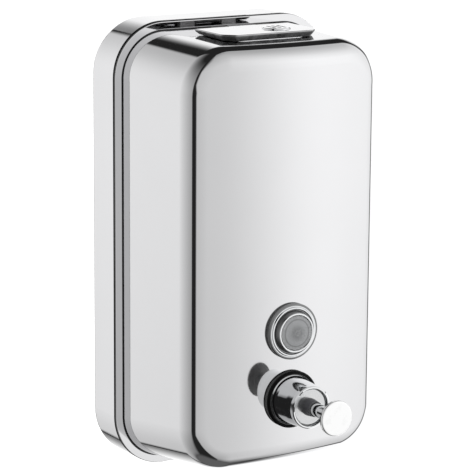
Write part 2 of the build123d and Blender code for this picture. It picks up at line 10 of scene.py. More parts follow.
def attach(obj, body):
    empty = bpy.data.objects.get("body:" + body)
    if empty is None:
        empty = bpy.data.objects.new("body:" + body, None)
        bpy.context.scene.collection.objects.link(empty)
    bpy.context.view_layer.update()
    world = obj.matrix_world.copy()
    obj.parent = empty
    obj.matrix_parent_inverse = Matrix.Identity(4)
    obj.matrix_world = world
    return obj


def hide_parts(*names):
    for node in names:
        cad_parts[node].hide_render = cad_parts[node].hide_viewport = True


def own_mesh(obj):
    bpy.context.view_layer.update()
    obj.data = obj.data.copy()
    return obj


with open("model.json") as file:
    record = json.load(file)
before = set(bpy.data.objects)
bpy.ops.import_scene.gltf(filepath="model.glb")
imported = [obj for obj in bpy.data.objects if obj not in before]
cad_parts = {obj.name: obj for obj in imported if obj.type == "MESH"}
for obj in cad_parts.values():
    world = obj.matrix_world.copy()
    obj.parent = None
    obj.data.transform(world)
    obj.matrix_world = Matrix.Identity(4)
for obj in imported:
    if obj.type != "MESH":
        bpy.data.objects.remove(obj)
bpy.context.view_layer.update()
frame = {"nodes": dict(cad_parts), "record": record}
nodes = frame["nodes"]
scene = bpy.context.scene

# ---- dimensions -------------------------------------------------------------------------------------
# Stage and camera, in metres and degrees.
MM = 0.001
FLOOR_Z = -0.25
FLOOR_HALF = 9.0
SUN_STRENGTH = 3.2
SUN_SPREAD = 40
CAMERA_AZIMUTH = -31.14
CAMERA_ELEVATION = 11.86
CAMERA_ROLL = 0.34
CAMERA_DISTANCE = 1.1836
CAMERA_TARGET = (0, -0.04847, 0.0044)
CAMERA_SHIFT = (-0.00697, 0.00163)
SENSOR = 36
LENS = 2577 / 470 * SENSOR

# The part, in millimetres; a reach is the distance from the wall, so a reach r lies at y = -r.
SHEET = 1.0
SEAM_REACH = 23.5            # front face of the seam flange, and the tank's outline there
SEAM = {"half": 52.75, "top": 99.6, "bottom": -100.0, "corner": 21.0}
FRONT_REACH = 86.5           # where the tank's outline is the one below
FRONT = {"half": 49.75, "top": 98.0, "bottom": -93.0, "corner": 22.0}
FACE_REACH = 84.5
CROWN_RISE = 5.5
CROWN_RADIUS = (FRONT["half"] ** 2 + CROWN_RISE ** 2) / (2 * CROWN_RISE)
CROWN_AXIS = FACE_REACH - CROWN_RADIUS
EDGE = 10.5                  # rounding between the front face and the sides
LEDGE = 4.0                  # width of the seam flange
FLANGE_BACK = 22.5
GROOVE = 0.45                # width of the groove at the flange's root, and the reach of its floor
GROOVE_FLOOR = 22.95
LIP_ROUND = 0.25
RIM_ROUND = 0.4
WINDOW_Z = -31.4
VALVE_Z = -63.0
WINDOW_HOLE = 9.75
VALVE_HOLE = 8.35
FILLER_HALF = 18.0
FILLER_REACHES = (44.0, 64.0)
FILLER_CORNER = 4.0
LID_HALF = 24.75
LID_BACK = 39.95
LID_FRONT = 68.5
LID_TOP = 101.8
LID_CLIP = 5.3
LID_ROUND = 1.6
LID_EDGE = 0.7
SKIRT_LEAN = 1.5             # how far the skirt's foot stands in
SKIRT_ANGLE = radians(35)
SKIRT_SHEET = 0.9
SKIRT_CLEAR = 0.35
LOCK_X = 9.0
LOCK_REACH = 55.0
LOCK_HOLE = 3.45
HINGE_REACH = 38.4
HINGE_Z = 100.8
KNUCKLE_HALF = 7.0
KNUCKLE_BORE = 0.75
KNUCKLE_RADIUS = 1.2
KNOB_BACK = 121.9            # reach of the polished rim's back
SPRING_REACHES = (62.5, 86.5)
SPRING_WIRE = 0.45
SPRING_RADIUS = 4.4
SPRING_TURNS = 8

# Fineness of the meshes.
QUARTERS = ((1, 1), (-1, 1), (-1, -1), (1, -1))
CORNER_STEPS = 28
SIDE_STEP = 5.0
WALL_STEPS = 6
EDGE_STEPS = 14


# ---- node helpers -----------------------------------------------------------------------------------
class Shader:
    """Short names for building a node tree."""

    def __init__(self, tree):
        self.tree = tree
        tree.nodes.clear()

    def node(self, kind, **settings):
        made = self.tree.nodes.new(kind)
        for name, value in settings.items():
            setattr(made, name, value)
        return made

    def feed(self, socket, value):
        if isinstance(value, bpy.types.NodeSocket):
            self.tree.links.new(value, socket)
        else:
            socket.default_value = value

    def math(self, operation, *values):
        made = self.node("ShaderNodeMath", operation=operation)
        for socket, value in zip(made.inputs, values):
            self.feed(socket, value)
        return made.outputs[0]

    def ramp(self, value, low, high, start=0.0, end=1.0):
        """Smooth step from start to end while the value goes from low to high."""
        made = self.node("ShaderNodeMapRange", interpolation_type="SMOOTHSTEP")
        for socket, number in zip(made.inputs, (value, low, high, start, end)):
            self.feed(socket, number)
        return made.outputs[0]

    def line(self, value, low, high, start=0.0, end=1.0):
        """Straight change from start to end while the value goes from low to high, held outside."""
        made = self.node("ShaderNodeMapRange")
        for socket, number in zip(made.inputs, (value, low, high, start, end)):
            self.feed(socket, number)
        return made.outputs[0]

    def times(self, first, *others):
        for other in others:
            first = self.math("MULTIPLY", first, other)
        return first

    def plus(self, first, *others):
        for other in others:
            first = self.math("ADD", first, other)
        return first

    def stretched(self, vector, scale):
        made = self.node("ShaderNodeMapping")
        self.feed(made.inputs["Vector"], vector)
        made.inputs["Scale"].default_value = scale
        return made.outputs[0]

    def noise(self, vector, scale, detail=2.0, roughness=0.5):
        made = self.node("ShaderNodeTexNoise")
        self.feed(made.inputs["Vector"], vector)
        made.inputs["Scale"].default_value = scale
        made.inputs["Detail"].default_value = detail
        made.inputs["Roughness"].default_value = roughness
        return made.outputs["Fac"]


# ---- light ------------------------------------------------------------------------------------------
def studio_world():
    """Soft boxes round the object as a function of direction, in degrees; the camera sees plain white.

    Azimuth 0 is the room side, -90 the object's left; elevation is 0 level and 90 straight up."""
    world = bpy.data.worlds.new("studio")
    scene.world = world
    world.use_nodes = True
    s = Shader(world.node_tree)
    ray = s.node("ShaderNodeTexCoord").outputs["Generated"]
    split = s.node("ShaderNodeSeparateXYZ")
    s.feed(split.inputs[0], ray)
    x, y, z = split.outputs
    azimuth = s.math("DEGREES", s.math("ARCTAN2", x, s.math("MULTIPLY", y, -1.0)))
    elevation = s.math("DEGREES", s.math("ARCSINE", z))

    # left soft box: brightest towards the wall, with a soft lower right corner
    soft = s.line(elevation, -60, -15, 28, 5)
    left_start = s.plus(-65, s.times(soft, -0.5))
    left_stop = s.plus(-65, s.times(soft, 0.5))
    left_box = s.times(
        s.line(azimuth, -150, -70, 0.97, 0.46),
        s.ramp(elevation, 2, 76, 1.0, 0.0),
        s.line(elevation, -60, -10, 0.45, 1.0),
        s.ramp(elevation, -72, -58),
        s.ramp(azimuth, left_start, left_stop, 1.0, 0.0),
        s.ramp(azimuth, -179, -173),
    )
    # front soft box: its left edge leans to the right low down, and it is brighter on its right
    front_start = s.plus(-57, s.line(elevation, 0, 14, 9, 0), s.line(elevation, -60, -24, 50, 0))
    front_soft = s.plus(8, s.line(elevation, 40, 65, 0, 24))
    front_level = s.plus(
        s.line(azimuth, -48, 10, 0.66, 0.775),
        s.times(s.ramp(azimuth, 8, 42, 0.0, 0.40), s.line(elevation, 20, 62, 1.0, 0.0)),
        s.line(azimuth, 45, 92, 0.0, -0.18),
    )
    front_end = s.plus(75, s.line(elevation, -20, 12, 0, 35))
    front_box = s.times(
        front_level,
        s.line(elevation, 35, 75, 1.0, 0.72),
        s.ramp(elevation, 72, 96, 1.0, 0.5),
        s.line(elevation, -50, -5, 0.64, 1.0),
        s.ramp(elevation, -74, -50),
        s.ramp(azimuth, front_start, s.plus(front_start, front_soft)),
        s.ramp(azimuth, s.plus(front_end, -4), s.plus(front_end, 2), 1.0, 0.0),
    )
    # white sweep behind on the right, low down, and a band of it higher up at the back
    sweep = s.times(
        1.25,
        s.ramp(azimuth, s.plus(front_end, 4), s.plus(front_end, 9)),
        s.ramp(elevation, -66, -52),
        s.ramp(elevation, 2, 12, 1.0, 0.0),
        s.line(azimuth, 150, 178, 1.0, 0.2),
    )
    rear = s.times(
        s.ramp(azimuth, 116, 128),
        s.ramp(elevation, -4, 4),
        s.ramp(elevation, 20, 34, 1.05, 0.0),
    )
    gloom = s.plus(0.02, s.ramp(elevation, -72, -58, 0.11, 0.0))
    total = s.math("MAXIMUM", s.math("MAXIMUM", left_box, front_box), s.math("MAXIMUM", sweep, rear))
    total = s.math("MAXIMUM", total, gloom)
    background = s.node("ShaderNodeBackground")
    s.feed(background.inputs["Strength"], total)
    white = s.node("ShaderNodeBackground")
    white.inputs["Color"].default_value = (1, 1, 1, 1)
    white.inputs["Strength"].default_value = 1.0
    background.inputs["Color"].default_value = (1, 1, 1, 1)
    mix = s.node("ShaderNodeMixShader")
    s.feed(mix.inputs[0], s.node("ShaderNodeLightPath").outputs["Is Camera Ray"])
    s.feed(mix.inputs[1], background.outputs[0])
    s.feed(mix.inputs[2], white.outputs[0])
    s.feed(s.node("ShaderNodeOutputWorld").inputs[0], mix.outputs[0])


def floor_and_sun():
    """Pale floor well below the object, and one soft light from above."""
    mesh = bpy.data.meshes.new("floor")
    corners = [(x * FLOOR_HALF, y * FLOOR_HALF, FLOOR_Z) for x, y in ((-1, -1), (1, -1), (1, 1), (-1, 1))]
    mesh.from_pydata(corners, [], [(0, 1, 2, 3)])
    floor = bpy.data.objects.new("floor", mesh)
    scene.collection.objects.link(floor)
    floor.visible_glossy = False
    material = bpy.data.materials.new("floor_paint")
    material.use_nodes = True
    shader = material.node_tree.nodes["Principled BSDF"]
    shader.inputs["Base Color"].default_value = (0.92, 0.92, 0.92, 1)
    shader.inputs["Roughness"].default_value = 1.0
    shader.inputs["Specular IOR Level"].default_value = 0.0
    mesh.materials.append(material)
    light = bpy.data.lights.new("top_light", "SUN")
    light.energy = SUN_STRENGTH
    light.angle = radians(SUN_SPREAD)
    sun = bpy.data.objects.new("top_light", light)
    scene.collection.objects.link(sun)
    sun.visible_glossy = False


# ---- materials --------------------------------------------------------------------------------------
class Finish(Shader):
    """A Principled material whose colour, roughness and relief vary over the surface."""

    def __init__(self, name, metallic=0.0, **constants):
        self.material = bpy.data.materials.new(name)
        self.material.use_nodes = True
        super().__init__(self.material.node_tree)
        self.shader = self.node("ShaderNodeBsdfPrincipled")
        self.shader.inputs["Metallic"].default_value = metallic
        for label, value in constants.items():
            self.shader.inputs[label.replace("_", " ")].default_value = value
        self.feed(self.node("ShaderNodeOutputMaterial").inputs[0], self.shader.outputs[0])
        self.place = self.node("ShaderNodeTexCoord").outputs["Object"]
        self.patches = self.noise(self.place, 38, 4)
        self.grain = self.noise(self.place, 900, 3)
        self.edges = self.ramp(self.node("ShaderNodeNewGeometry").outputs["Pointiness"], 0.53, 0.64)

    def colour(self, base, amount, share, worn, wear):
        """Base colour, darkened by the amount where the share is high, and the worn colour along edges."""
        dark = tuple(c * (1 - amount) for c in base)
        under = self.blend(share, base, dark)
        self.feed(self.shader.inputs["Base Color"], self.blend(self.times(self.edges, wear), under, worn))

    def blend(self, share, first, second):
        made = self.node("ShaderNodeMix", data_type="RGBA")
        self.feed(made.inputs[0], share)
        for socket, value in ((made.inputs[6], first), (made.inputs[7], second)):
            self.feed(socket, value if isinstance(value, bpy.types.NodeSocket) else (*value, 1))
        return made.outputs[2]

    def reach(self):
        """Distance from the wall, in millimetres."""
        split = self.node("ShaderNodeSeparateXYZ")
        self.feed(split.inputs[0], self.place)
        return self.times(split.outputs[1], -1000.0)

    def radius(self, height):
        """Distance from the axis that leaves the front face at this height, in millimetres."""
        split = self.node("ShaderNodeSeparateXYZ")
        self.feed(split.inputs[0], self.place)
        across = self.times(split.outputs[0], 1000.0)
        up = self.plus(self.times(split.outputs[2], 1000.0), -height)
        return self.math("SQRT", self.plus(self.times(across, across), self.times(up, up)))

    def band(self, value, low, high, soft=0.12):
        above = self.ramp(value, low - soft, low + soft)
        return self.times(above, self.ramp(value, high - soft, high + soft, 1.0, 0.0))

    def soil_and_shade(self, share, colour):
        """Dark coat over the finished colour where the share is high, duller than the metal: heat colour on
        the hinge ears, painted shade on the other pieces.
        """
        for label, value in (("Base Color", colour), ("Roughness", 0.5)):
            socket = self.shader.inputs[label]
            source = socket.links[0].from_socket
            if label == "Base Color":
                mixed = self.blend(share, source, value)
            else:
                mixed = self.plus(source, self.times(share, value))
            self.feed(socket, mixed)

    def rough(self, base, *additions):
        self.feed(self.shader.inputs["Roughness"], self.plus(base, *additions))

    def relief(self, *layers):
        """Bumps from (height source, depth in metres) pairs, one on another."""
        normal = None
        for height, depth in layers:
            bump = self.node("ShaderNodeBump")
            bump.inputs["Strength"].default_value = 1.0
            bump.inputs["Distance"].default_value = depth
            self.feed(bump.inputs["Height"], height)
            if normal:
                self.feed(bump.inputs["Normal"], normal)
            normal = bump.outputs[0]
        self.feed(self.shader.inputs["Normal"], normal)


def seam_painted_shade(f):
    """Painted shade: the seam's cut edge and the groove at the flange's root are painted dark and made
    duller, where shade falls in these recesses.
    """
    return f.band(f.reach(), 20.0, 23.3, 0.06), (0.10, 0.10, 0.10)


def polished_steel(name="polished_steel", soil_and_shade_mask=None):
    """Buffed sheet: a mirror with a trace of peel, hairlines from the wheel and duller patches."""
    f = Finish(name, 1.0)
    hairlines = f.ramp(f.noise(f.stretched(f.place, (260, 260, 5200)), 1.0, 2), 0.60, 0.74)
    f.colour(record_colour("polished_steel"), 0.03, f.patches, (0.86, 0.86, 0.87), 0.4)
    f.rough(0.03, f.times(f.patches, 0.035), f.times(hairlines, 0.05), f.times(f.edges, 0.06))
    f.relief((f.noise(f.place, 85, 1), 0.0000025), (hairlines, 0.0000001))
    if soil_and_shade_mask:
        f.soil_and_shade(*soil_and_shade_mask(f))
    return f.material


def sheet_steel():
    """Mill sheet with the fine straight grain of the rolls."""
    f = Finish("sheet_steel", 1.0, Anisotropic=0.4)
    grain = f.noise(f.stretched(f.place, (120, 3600, 3600)), 1.0, 3)
    tone = f.plus(f.times(f.patches, 0.6), f.times(grain, 0.4))
    f.colour(record_colour("sheet_steel"), 0.16, tone, (0.74, 0.74, 0.75), 0.5)
    f.rough(0.22, f.times(grain, 0.16), f.times(f.patches, 0.08))
    f.relief((grain, 0.000006), (f.patches, 0.00002))
    return f.material


def chrome(name="chrome", soil_and_shade_mask=None, base=None):
    """Bright plating: sharper than the steel, with water marks, and painted shade where its mask says (with
    the gland's tool marks).
    """
    f = Finish(name, 1.0)
    marks = f.ramp(f.noise(f.place, 210, 3), 0.52, 0.70)
    f.colour(base or record_colour("chrome"), 0.04, marks, (0.90, 0.90, 0.90), 0.5)
    f.rough(0.02, f.times(marks, 0.035), f.times(f.edges, 0.05))
    f.relief((f.patches, 0.000003), (f.grain, 0.0000002))
    if soil_and_shade_mask:
        f.soil_and_shade(*soil_and_shade_mask(f))
    return f.material


def window_painted_shade(f):
    """Painted shade: black round the foot of the window's ring, where it meets the shell, and in its step."""
    radius = f.radius(WINDOW_Z)
    outer = f.ramp(radius, 11.75, 11.95)
    step = f.band(radius, 9.0, 10.45)
    return f.plus(f.times(outer, 0.72), f.times(step, 0.7)), (0.07, 0.07, 0.07)


def lid_skirt_painted_shade(f):
    """Painted shade: the skirt below the lid's flat top is painted near black in mottled patches and made
    duller, where it leans in under the lid's edge.
    """
    split = f.node("ShaderNodeSeparateXYZ")
    f.feed(split.inputs[0], f.place)
    skirt = f.ramp(f.times(split.outputs[2], 1000.0), LID_TOP - 0.55, LID_TOP - 0.25, 1.0, 0.0)
    shade_mottle = f.plus(0.62, f.times(f.noise(f.place, 330, 3), 0.5))
    return f.times(skirt, shade_mottle), (0.035, 0.035, 0.035)


def weld_soil(f):
    """Heat colour left by welding."""
    return f.plus(0.45, f.times(f.patches, 0.5)), (0.06, 0.055, 0.05)


def valve_painted_shade(f):
    """Painted shade: a black ring round the valve's foot and in the groove behind it."""
    radius = f.radius(VALVE_Z)
    return f.ramp(radius, 11.5, 11.7), (0.012, 0.012, 0.012)


def gland_marks_and_painted_shade(f):
    """Turned face: concentric tool marks; the face is also painted darker than the plating round it as
    painted shade under the knob, and darker still at its rim as painted shade in the groove round it.
    """
    radius = f.radius(VALVE_Z)
    marks = f.plus(0.5, f.times(f.math("SINE", f.times(radius, 17.0)), 0.25))
    return f.plus(f.times(marks, 0.45), f.times(f.ramp(radius, 8.0, 8.15), 0.6)), (0.14, 0.14, 0.14)


def knob_back_painted_shade(f):
    """Painted shade: the knob's back, towards the wall, is painted dark."""
    return f.times(f.ramp(f.reach(), KNOB_BACK, KNOB_BACK - 0.4), 0.9), (0.08, 0.08, 0.08)


def spring_steel():
    """Drawn wire and balls, duller than the plating."""
    f = Finish("spring_steel", 1.0)
    drawn = f.noise(f.place, 1700, 2)
    f.colour(record_colour("spring_steel"), 0.22, f.patches, (0.78, 0.77, 0.75), 0.3)
    f.rough(0.16, f.times(drawn, 0.14), f.times(f.patches, 0.06))
    f.relief((drawn, 0.000004))
    return f.material


def rubber():
    """Moulded rubber: matt, with a greyer bloom in patches and along edges."""
    f = Finish("black_rubber", Specular_IOR_Level=0.35)
    bloom = f.ramp(f.patches, 0.42, 0.66)
    base = tuple(c * 1.5 for c in record_colour("black_rubber"))
    f.colour(base, 0.5, f.grain, (0.10, 0.10, 0.10), 0.6)
    f.rough(0.52, f.times(bloom, 0.2), f.times(f.grain, 0.1))
    f.relief((f.grain, 0.00003), (f.patches, 0.00004))
    return f.material


def moulded(name, worn, roughness):
    """Acetal mouldings: a satin skin with the tool's faint texture."""
    f = Finish(name, Specular_IOR_Level=0.5)
    f.colour(record_colour(name), 0.12, f.patches, worn, 0.5)
    f.rough(roughness, f.times(f.grain, 0.16), f.times(f.patches, 0.05))
    f.relief((f.grain, 0.000014), (f.noise(f.place, 260, 2), 0.00001))
    return f.material


def clear_lens():
    """Smoked acrylic with fine scuffs; painted shade darkens it towards its middle, over the bore behind it,
    and in a thin ring.
    """
    f = Finish("clear_plastic", IOR=1.49, Transmission_Weight=0.45)
    scuffs = f.ramp(f.noise(f.stretched(f.place, (900, 4000, 2500)), 1.0, 3), 0.60, 0.75)
    radius = f.radius(WINDOW_Z)
    bore_shade = f.plus(f.ramp(radius, 1.0, 5.0, 0.75, 0.15), f.times(f.band(radius, 5.9, 6.5), 0.5))
    f.colour((0.50, 0.51, 0.52), 0.6, bore_shade, (0.7, 0.7, 0.7), 0.4)
    f.rough(0.04, f.times(scuffs, 0.12), f.times(f.patches, 0.03))
    f.relief((f.patches, 0.000004))
    return f.material


def record_colour(slot):
    return tuple(next(m for m in frame["record"]["materials"] if m["slot"] == slot)["base_color"][:3])


def build_materials():
    """One material for each of the record's slots, with variants for the welded ears and for pieces with
    painted shade, on every CAD node.
    """
    made = {
        "polished_steel": polished_steel(),
        "sheet_steel": sheet_steel(),
        "chrome": chrome(),
        "spring_steel": spring_steel(),
        "black_rubber": rubber(),
        "black_plastic": moulded("black_plastic", (0.10, 0.10, 0.10), 0.34),
        "white_plastic": moulded("white_plastic", (0.88, 0.88, 0.86), 0.38),
        "clear_plastic": clear_lens(),
    }
    # Heat colour on the hinge ears; painted shade on the window, valve, gland and knob chrome.
    special = {
        "hinge_ears": polished_steel("welded_steel", weld_soil),
        "window_bezel": chrome("chrome_window", window_painted_shade),
        "valve_housing": chrome("chrome_valve", valve_painted_shade),
        "gland_disc": chrome("chrome_gland", gland_marks_and_painted_shade),
        "push_knob": chrome("chrome_knob", knob_back_painted_shade, (0.96, 0.96, 0.96)),
    }
    # The shell's variant carries painted shade in its seam; the lid's carries painted shade on its skirt.
    made["shell_steel"] = polished_steel("polished_shell", seam_painted_shade)
    made["lid_steel"] = polished_steel("polished_lid", lid_skirt_painted_shade)
    for part in frame["record"]["subparts"]:
        node = nodes[part["node"]]
        material = special.get(part["node"], made[part["material_slot"]])
        if node.material_slots:
            for slot in node.material_slots:
                slot.material = material
        else:
            node.data.materials.append(material)
    return made


# ---- meshes with their own normals ------------------------------------------------------------------


class Surface:
    """Closed mesh built face by face from points that carry their own normals."""

    def __init__(self):
        self.index = {}
        self.points = []
        self.faces = []
        self.normals = []

    def vertex(self, point):
        key = tuple(round(c, 4) for c in point)
        if key not in self.index:
            self.index[key] = len(self.points)
            self.points.append([c * MM for c in point])
        return self.index[key]

    def face(self, corners):
        """corners: (point, normal) pairs; the face is turned to look along its normals."""
        numbers = [self.vertex(point) for point, _ in corners]
        if len(set(numbers)) < len(numbers):
            kept = [i for i, number in enumerate(numbers) if number not in numbers[:i]]
            corners = [corners[i] for i in kept]
            numbers = [numbers[i] for i in kept]
        if len(numbers) < 3:
            return
        places = [Vector(point) for point, _ in corners]
        flat = normal_of(places)
        mean = sum((Vector(normal) for _, normal in corners), Vector())
        if flat.dot(mean) < 0:
            corners = corners[::-1]
            numbers = numbers[::-1]
        self.faces.append(numbers)
        self.normals.extend(Vector(normal).normalized() for _, normal in corners)

    def strip(self, row, next_row):
        """Quads between two closed rows of (point, normal)."""
        count = len(row)
        for i in range(count):
            j = (i + 1) % count
            self.face([row[i], row[j], next_row[j], next_row[i]])

    def strips(self, rows):
        for row, next_row in zip(rows, rows[1:]):
            self.strip(row, next_row)

    def finish(self, name, body):
        mesh = bpy.data.meshes.new(name)
        mesh.from_pydata(self.points, [], self.faces)
        mesh.polygons.foreach_set("use_smooth", [True] * len(mesh.polygons))
        mesh.normals_split_custom_set(self.normals)
        mesh.update()
        made = bpy.data.objects.new(name, mesh)
        scene.collection.objects.link(made)
        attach(made, body)
        return made


def normal_of(places):
    """Normal of a polygon, by Newell's rule."""
    total = Vector()
    for a, b in zip(places, places[1:] + places[:1]):
        total += a.cross(b)
    return total


def lerp(a, b, t):
    return a + (b - a) * t


# ---- pressed steel shell ----------------------------------------------------------------------------
def tank(reach, name):
    """A dimension of the tank's outline at a reach."""
    return lerp(SEAM[name], FRONT[name], (reach - SEAM_REACH) / (FRONT_REACH - SEAM_REACH))


def rate(name):
    """How fast that dimension changes with the reach."""
    return (FRONT[name] - SEAM[name]) / (FRONT_REACH - SEAM_REACH)


def perimeter():
    """Samples round the outline: (quarter, angle, next quarter, next angle, share of the way to it)."""
    samples = []
    for quarter in range(4):
        start = quarter * pi / 2
        for step in range(CORNER_STEPS + 1):
            samples.append((quarter, start + step / CORNER_STEPS * pi / 2, quarter, 0.0, 0.0))
        corner = SEAM["corner"]
        lengths = (2 * (SEAM["half"] - corner), SEAM["top"] - SEAM["bottom"] - 2 * corner)
        count = int(lengths[quarter % 2] / SIDE_STEP)
        following = (quarter + 1) % 4
        end = start + pi / 2
        for step in range(1, count):
            samples.append((quarter, end, following, end, step / count))
    return samples


def corner_place(quarter, angle, reach, outward):
    """(x, z) on a corner of the tank's outline at a reach, moved outward."""
    side, up = QUARTERS[quarter]
    corner = tank(reach, "corner")
    x = side * (tank(reach, "half") - corner)
    z = tank(reach, "top") - corner if up > 0 else tank(reach, "bottom") + corner
    return x + (corner + outward) * cos(angle), z + (corner + outward) * sin(angle)


def outline_place(sample, reach, outward=0.0):
    """(x, z) of a perimeter sample at a reach, moved outward."""
    quarter, angle, following, next_angle, share = sample
    x, z = corner_place(quarter, angle, reach, outward)
    if share:
        next_x, next_z = corner_place(following, next_angle, reach, outward)
        x, z = lerp(x, next_x, share), lerp(z, next_z, share)
    return x, z


def wall_normal(sample):
    """Unit normal (x, reach, z) of the tank's wall at a sample; it does not change along the wall."""
    quarter, angle = sample[:2]
    side, up = QUARTERS[quarter]
    u, w = cos(angle), sin(angle)
    moved = side * (rate("half") - rate("corner")) * u
    moved += (rate("top") - rate("corner")) * w if up > 0 else (rate("bottom") + rate("corner")) * w
    return Vector((u, -(moved + rate("corner")), w)).normalized()


def edge_arc(sample, steps):
    """Rolling ball round the front edge: its start reach and its (centre, normal) list from wall to crown."""
    normal = wall_normal(sample)
    x0, _ = outline_place(sample, 0.0)
    x1, _ = outline_place(sample, 1.0)
    slope = x1 - x0
    start = x0 - EDGE * normal.x
    shift = EDGE * normal.y + CROWN_AXIS
    a = slope ** 2 + 1
    b = 2 * (start * slope - shift)
    c = start ** 2 + shift ** 2 - (CROWN_RADIUS - EDGE) ** 2
    reach = (-b + sqrt(b * b - 4 * a * c)) / (2 * a)
    x, z = outline_place(sample, reach)
    centre = Vector((x, reach, z)) - EDGE * normal
    crown = Vector((centre.x, centre.y - CROWN_AXIS, 0)).normalized()
    return reach, centre, [normal.slerp(crown, step / steps).normalized() for step in range(steps + 1)]


def row_point(place, normal, inward=0.0):
    """(point, normal) in the row frame from (x, reach, z) vectors."""
    place = place - normal * inward
    return (place.x, -place.y, place.z), (normal.x, -normal.y, normal.z)


def flipped(row):
    return [(point, tuple(-c for c in normal)) for point, normal in row]


def crown_reach(x, inset=0.0):
    return CROWN_AXIS + sqrt((CROWN_RADIUS - inset) ** 2 - x ** 2)


def crown_corner(x, z, inset, sense):
    reach = crown_reach(x, inset)
    normal = Vector((x, reach - CROWN_AXIS, 0)).normalized() * sense
    return (x, -reach, z), (normal.x, -normal.y, normal.z)


def circle_loop(z, radius, count=72):
    return [(radius * cos(2 * pi * i / count), z + radius * sin(2 * pi * i / count)) for i in range(count)]


def patch(surface, outline, holes, extra, corner):
    """Fills a flat outline with holes; corner(u, v) gives a point and its normal."""
    points = [Vector(p) for p in outline]
    edges = [(i, (i + 1) % len(outline)) for i in range(len(outline))]
    for hole in holes:
        first = len(points)
        points += [Vector(p) for p in hole]
        edges += [(first + i, first + (i + 1) % len(hole)) for i in range(len(hole))]
    points += [Vector(p) for p in extra]
    places, _, faces = delaunay_2d_cdt(points, edges, [], 1, 1e-6)[:3]
    rings = [[Vector(p) for p in hole] for hole in holes]
    for face in faces:
        middle = sum((places[i] for i in face), Vector((0, 0))) / len(face)
        if not any(inside(middle, ring) for ring in rings):
            surface.face([corner(*places[i]) for i in face])


def inside(point, ring):
    """Whether a point lies in a closed ring, by crossings."""
    crossings = 0
    for a, b in zip(ring, ring[1:] + ring[:1]):
        if (a.y > point.y) != (b.y > point.y):
            crossings += point.x < a.x + (point.y - a.y) / (b.y - a.y) * (b.x - a.x)
    return crossings % 2 == 1


def flange_profile():
    """Seam flange from the groove's floor round to its back: (outward, reach, normal out, normal ahead)."""
    lip = [
        (GROOVE + LIP_ROUND * (1 - cos(a)), SEAM_REACH - LIP_ROUND * (1 - sin(a)), -cos(a), sin(a))
        for a in (i * pi / 8 for i in range(5))
    ]
    rim = [
        (LEDGE - RIM_ROUND * (1 - sin(a)), SEAM_REACH - RIM_ROUND * (1 - cos(a)), sin(a), cos(a))
        for a in (i * pi / 12 for i in range(7))
    ]
    return [(GROOVE, GROOVE_FLOOR, -1, 0), *lip, *rim, (LEDGE, FLANGE_BACK, 1, 0)]


def flange_row(samples, outward, reach, across, ahead):
    row = []
    for sample in samples:
        x, z = outline_place(sample, SEAM_REACH, outward)
        normal = Vector((across * cos(sample[1]), ahead, across * sin(sample[1])))
        row.append(row_point(Vector((x, reach, z)), normal))
    return row


def rim_of_hole(surface, outer, inner):
    """Wall of a hole between its outer and inner loops of points."""
    count = len(outer)
    middle = sum((Vector(p) for p in outer), Vector()) / count
    across = normal_of([Vector(p) for p in outer]).normalized()
    normals = []
    for i in range(count):
        along = Vector(outer[(i + 1) % count]) - Vector(outer[i - 1])
        normal = along.cross(across).normalized()
        if normal.dot(middle - Vector(outer[i])) < 0:
            normal.negate()
        normals.append(tuple(normal))
    surface.strip(list(zip(outer, normals)), list(zip(inner, normals)))


def rounded_rectangle(half, low, high, corner, steps=8):
    """Closed (x, reach) outline of a hole in the tank's top."""
    loop = []
    for quarter, (side, up) in enumerate(QUARTERS):
        centre_x = side * (half - corner)
        centre_r = high - corner if up > 0 else low + corner
        for step in range(steps + 1):
            angle = (quarter + step / steps) * pi / 2
            loop.append((centre_x + corner * cos(angle), centre_r + corner * sin(angle)))
    return loop


